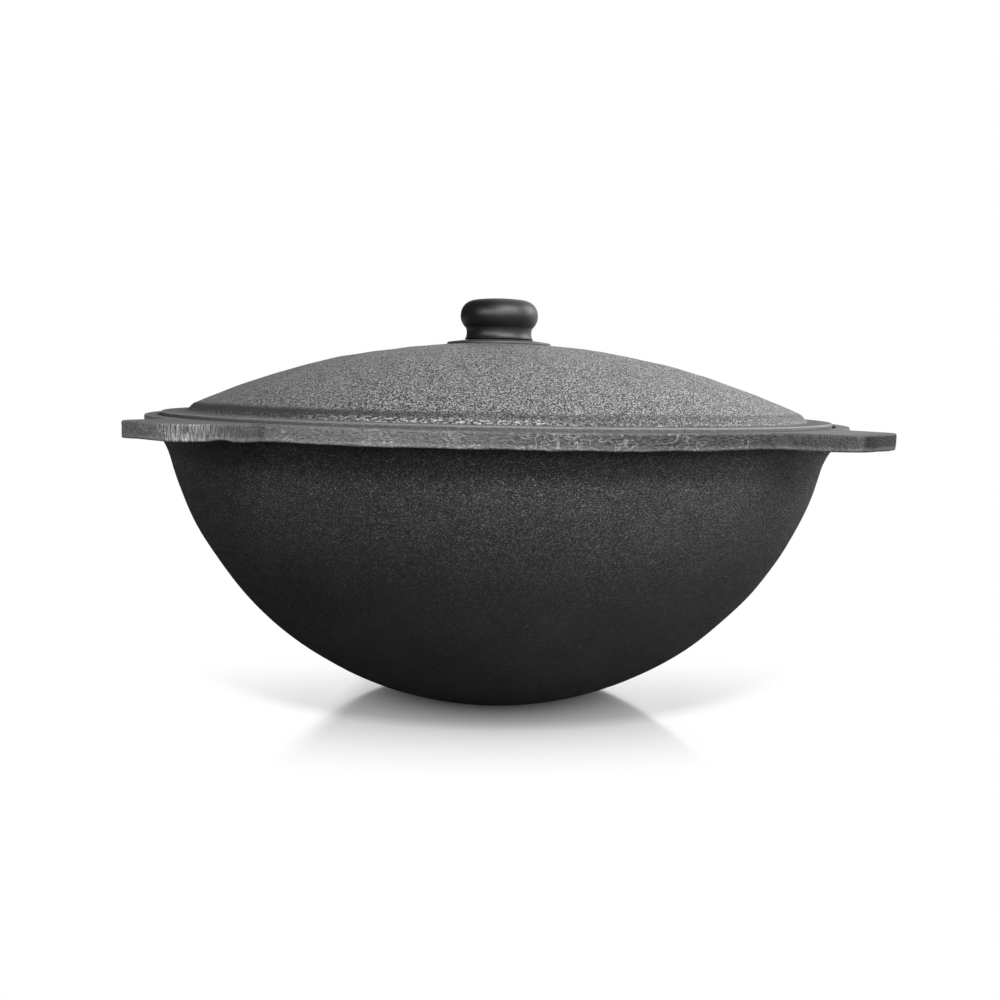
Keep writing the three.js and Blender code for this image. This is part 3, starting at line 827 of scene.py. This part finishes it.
# %% [markdown]
# The lid was left as it came out of the sand: a coarser, wormy grain. Real bumps that small would need
# millions of faces, so a relief stands in, and the crests are painted lighter and the hollows darker, as
# light and shade would fall on them. The shoulder and the flat ring came smoother out of the mould, the
# shoulder is painted darker as shade, and the foot of the shoulder has bright dashes as a painted
# highlight.

# %% Lid iron
LID_GREY = 0.110
DARKEST_LID = 0.01
LID_RELIEF = 0.0015
PALE_TINT = (0.99, 0.995, 1.0)

lid_iron, at = new_finish("lid_iron_cast")
ring = mask(at, "ring")
on_shoulder = mask(at, "shoulder")
smooth = at.math("MINIMUM", ring + 0.7 * on_shoulder, 1.0)
worms = noise(scaled(at, 1500, 1000, 1500), 1.0, 1.0, 0.6)
crest = between(worms, 0.40, 0.60)
dashes = between(noise(stretched(at, 420, 1100), 1.0, 1), 0.44, 0.62)
# Painted light and shade: the grain's crests are coloured lighter and its hollows darker.
grey = LID_GREY + 0.03 * noise(at, 30, 3) + 0.42 * (crest - 0.5) * (1 - 0.8 * smooth)
# Painted shade darkens the shoulder, most on its left side.
# The edge mask adds a painted highlight on the ring's outer edge.
grey = grey * (1 - 0.9 * on_shoulder) * (1 - 0.5 * ring) + 0.10 * mask(at, "edge")
# The bright dashes on the foot are a painted highlight.
grey = grey + 0.40 * mask(at, "foot") * dashes
# Painted shade darkens the lower side of the ring, in the gap.
grey = at.math("MAXIMUM", grey * (1 - 0.8 * mask(at, "side")), DARKEST_LID)
rough = 0.50 + 0.1 * (worms - 0.5) + 0.2 * ring + 0.2 * on_shoulder
relief = crest * (1 - 0.85 * smooth)
complete(at, tinted(grey, PALE_TINT), rough, 0.0, relief, LID_RELIEF, {"Specular IOR Level": 0.5})
lid.data.materials.append(lid_iron)

# %% [markdown]
# Knob and disc are dark moulded plastic with a satin face: nearly even in colour, with a soft change in
# gloss where hands have polished it and a very fine mould texture. One recipe with two tones makes both:
# each row below gives the piece, the name, the grey and the roughness.

# %% Plastics
MOULD_RELIEF = 0.00002
PLASTICS = ((knob, "knob_plastic_satin", 0.006, 0.40), (disc, "disc_plastic_satin", 0.04, 0.42))

for piece, name, level, gloss in PLASTICS:
    plastic, at = new_finish(name)
    handled = noise(at, 60, 3)
    mould = noise(at, 2600, 1)
    grey = level + 0.004 * (handled - 0.5) + 0.002 * (mould - 0.5)
    rough = gloss + 0.10 * (handled - 0.5) + 0.06 * (mould - 0.5)
    complete(at, tinted(grey, PALE_TINT), rough, 0.0, mould, MOULD_RELIEF, {"Specular IOR Level": 0.4})
    piece.data.materials.append(plastic)

# %% [markdown]
# The fasteners under the lid and the brass insert inside the knob keep the shapes of the packed part.
# They get metal finishes: zinc with a cloudy plating, and brass with the rings of the lathe. An image of
# brushed metal could be wrapped on them, but such small pieces only need soft clouds and fine rings.

# %% Metals
TURNING_RELIEF = 0.00001


def metal_finish(name, colour, darker, gloss):
    """Metal whose colour and gloss drift in soft clouds, with fine turning marks as bump."""
    metal, at = new_finish(name)
    cloud = noise(at, 350, 3)
    marks = noise(scaled(at, 300, 300, 6000), 1.0, 1)
    base = at.add("ShaderNodeMix", {"data_type": "RGBA"}, {0: cloud, 6: (*colour, 1), 7: (*darker, 1)}, 2)
    complete(at, base, gloss + 0.2 * (cloud - 0.5), 1.0, marks, TURNING_RELIEF, {})
    return metal


zinc = metal_finish("zinc_plate", (0.62, 0.63, 0.64), (0.42, 0.42, 0.42), 0.34)
brass = metal_finish("turned_brass", (0.69, 0.55, 0.29), (0.52, 0.38, 0.17), 0.30)
for node in ("knob_screw", "spring_washer", "flat_washer"):
    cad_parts[node].material_slots[0].material = zinc
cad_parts["knob_insert"].material_slots[0].material = brass
print("finishes", [m.name for m in bpy.data.materials if m.users])

# %% [markdown]
# The pot stands on a white studio floor. A lit floor would have to be very bright to look white, so this
# one glows in plain white for the camera instead and darkens by painted shade: where the pot covers the
# sky, through Ambient Occlusion, and in a painted round pool of shade, placed where the front light would
# throw the rim's shadow. The pool lies mostly behind the foot, and its front edge shows before it.

# %% Floor and its shade
FLOOR_HALF = 4.0
POOL_CENTRE = (0.005, 0.128, 0)
POOL_INSIDE, POOL_OUTSIDE = 0.193, 0.213
POOL_DEPTH = 0.26
POOL_END, POOL_RISE = 0.30, 5.2
POOL_FADE_FROM, POOL_FADE_TO = -0.05, 0.06
SKY_REACH, SKY_CLEAR = 0.5, 0.50

floor_mesh = bpy.data.meshes.new("floor")
corners = np.array([(-1, -1, 0), (1, -1, 0), (1, 1, 0), (-1, 1, 0)]) * FLOOR_HALF
floor_mesh.from_pydata(corners.tolist(), [], [(0, 1, 2, 3)])
floor = bpy.data.objects.new("floor", floor_mesh)
scene.collection.objects.link(floor)

floor_white, at = new_finish("floor_white")
across = coordinate(at, "X")
deep = coordinate(at, "Y")
open_sky = at.add("ShaderNodeAmbientOcclusion", {"samples": 24}, {"Distance": SKY_REACH}, "AO")
contact = between(open_sky**0.5, 0.0, SKY_CLEAR)
from_pool = at.add("ShaderNodeVectorMath", {"operation": "DISTANCE"}, {0: at, 1: POOL_CENTRE}, "Value")
from_axis = at.add("ShaderNodeVectorMath", {"operation": "LENGTH"}, {0: at}, "Value")
fading = at.math("MINIMUM", at.math("MAXIMUM", POOL_END - from_axis, 0.0) * POOL_RISE, 1.0)
# Painted shadow: a round pool of shade on the floor.
pool = POOL_DEPTH * fading**2 * (1 - between(from_pool, POOL_INSIDE, POOL_OUTSIDE))
pool = pool * (1 - between(deep, POOL_FADE_FROM, POOL_FADE_TO))
white = at.add("ShaderNodeEmission", {}, {"Color": contact * (1 - pool), "Strength": 1.0})
print("floor", 2 * FLOOR_HALF, "m wide, shade of", len(at.tree.nodes), "nodes")

# %% [markdown]
# The floor is a little glossy, so the bowl shows in it near its foot. A glossy coat all over would mirror
# the lamps too. So a mirror is mixed in that fades with the distance from the foot, sooner in front than to
# the sides, and ends at the left of the pot.

# %% Sheen of the floor
SHEEN_END, SHEEN_RISE, SHEEN_BEND, SHEEN_MOST = 0.145, 8.2, 1.55, 0.95
SHEEN_WIDENING = 0.55
MIRROR_BLUR = 0.10
LEFT_SLANT, LEFT_FROM, LEFT_TO = 0.256, 0.066, 0.086

widened = scaled(at, SHEEN_WIDENING, 1, 1)
from_foot = at.add("ShaderNodeVectorMath", {"operation": "LENGTH"}, {0: widened}, "Value")
near = at.math("MAXIMUM", (SHEEN_END - from_foot) * SHEEN_RISE, 0.0)
left_of_pot = between(LEFT_SLANT * deep - across, LEFT_FROM, LEFT_TO)
sheen = at.math("MINIMUM", near**SHEEN_BEND, SHEEN_MOST) * (1 - left_of_pot)
mirror = at.add("ShaderNodeBsdfGlossy", {}, {"Color": (1, 1, 1, 1), "Roughness": MIRROR_BLUR})
black = at.add("ShaderNodeEmission", {}, {"Color": (0, 0, 0, 1), "Strength": 0.0})
dimmed = at.add("ShaderNodeMixShader", {}, {0: pool, 1: mirror, 2: black})
shown = at.add("ShaderNodeMixShader", {}, {0: sheen, 1: white, 2: dimmed})
print("sheen ends", round(SHEEN_END / SHEEN_WIDENING, 3), "m to the side of the axis")

# %% [markdown]
# The glowing white is for the camera and for reflections, not for the light on the pot, so other rays meet
# a dark floor. Reflections see it only behind and to the right, as if black cards stood in front and at the
# left: they give the knob and the rim their dark sides. From below the floor is clear.

# %% Floor put together
FRONT_CARD = (-0.1, 0.3)
LEFT_CARD = (-0.2, 0.2)
LEFT_SHOWN = 0.3
BOUNCE_COLOUR = (0.07, 0.07, 0.07, 1)


def shown_share(path, lit):
    """1 for camera rays, and the lit share for rays of gloss and glass, from a Light Path node's wire."""
    glossy, glass = (Wire(path.tree, path.socket.node.outputs[name])
                     for name in ("Is Glossy Ray", "Is Transmission Ray"))
    return path.math("MAXIMUM", path, path.math("MAXIMUM", glossy, glass) * lit)


lit_part = between(deep, *FRONT_CARD) * (LEFT_SHOWN + (1 - LEFT_SHOWN) * between(across, *LEFT_CARD))
seen = shown_share(at.add("ShaderNodeLightPath"), lit_part)
bounce = at.add("ShaderNodeBsdfDiffuse", {}, {"Color": BOUNCE_COLOUR})
surface = at.add("ShaderNodeMixShader", {}, {0: seen, 1: bounce, 2: shown})
behind = at.add("ShaderNodeNewGeometry", {}, {}, "Backfacing")
clear = at.add("ShaderNodeBsdfTransparent")
at.add("ShaderNodeOutputMaterial", {}, {
    "Surface": at.add("ShaderNodeMixShader", {}, {0: behind, 1: surface, 2: clear})})
floor_mesh.materials.append(floor_white)
print("floor finish", len(at.tree.nodes), "nodes")

# %% [markdown]
# The background is white in the same way: plain white for the camera, and white only on the right for
# reflections. A bright world could light the pot too, but it would wash out the grain, so the world adds
# only a faint even glow, and the light comes from the lamps.

# %% Background
DARK_TO, LIT_FROM = -0.36, 0.14
AMBIENT = 0.06

world = bpy.data.worlds.new("studio")
world.use_nodes = True
world.node_tree.nodes.clear()
sky = Wire(world.node_tree).add("ShaderNodeLightPath")
lit_side = between(coordinate(sky.add("ShaderNodeTexCoord"), "X"), DARK_TO, LIT_FROM)
seen = shown_share(sky, lit_side)
ambient = sky.add("ShaderNodeBackground", {}, {"Color": (1, 1, 1, 1), "Strength": AMBIENT})
plain_white = sky.add("ShaderNodeBackground", {}, {"Color": (1, 1, 1, 1), "Strength": 1.0})
sky.add("ShaderNodeOutputWorld", {}, {
    "Surface": sky.add("ShaderNodeMixShader", {}, {0: seen, 1: ambient, 2: plain_white})})
scene.world = world
print("background", len(world.node_tree.nodes), "nodes")

# %% [markdown]
# Six soft boxes light the pot. A wide one in front and above does most, and a key from the upper right
# shapes the lid. Low ones from the left front, the right and the left back lift the bowl's wall and its
# edges; they don't show in the gloss, where they would make spots on the knob. The strip does the opposite:
# it only shows in the gloss, as the long light along the knob's head and neck.

# %% Lights
def softbox(name, place, aim, width, height, watts, diffuse=True, glossy=True):
    """A rectangular area lamp at a place, facing a height on the axis, and what it lights."""
    lamp = bpy.data.objects.new(name, bpy.data.lights.new(name, "AREA"))
    lamp.data.shape = "RECTANGLE"
    lamp.data.size = width
    lamp.data.size_y = height
    lamp.data.energy = watts
    lamp.location = place
    lamp.rotation_mode = "QUATERNION"
    lamp.rotation_quaternion = (Vector((0, 0, aim)) - Vector(place)).to_track_quat("-Z", "Y")
    lamp.visible_diffuse = diffuse
    lamp.visible_glossy = glossy
    scene.collection.objects.link(lamp)
    print(name, watts, "W")


softbox("front", (0.60, -1.25, 1.12), 0.10, 1.8, 1.1, 53)
softbox("fill", (-0.72, -1.30, 0.20), 0.10, 1.8, 0.3, 10, glossy=False)
softbox("side", (1.35, -0.60, 0.16), 0.10, 0.7, 0.3, 17, glossy=False)
softbox("strip", (-0.75, -1.35, 0.66), 0.20, 1.9, 0.5, 23, diffuse=False)
softbox("key", (1.60, 0.40, 0.95), 0.15, 1.2, 1.0, 21)
softbox("back", (-1.25, 1.05, 0.07), 0.10, 0.9, 0.12, 6.5, glossy=False)
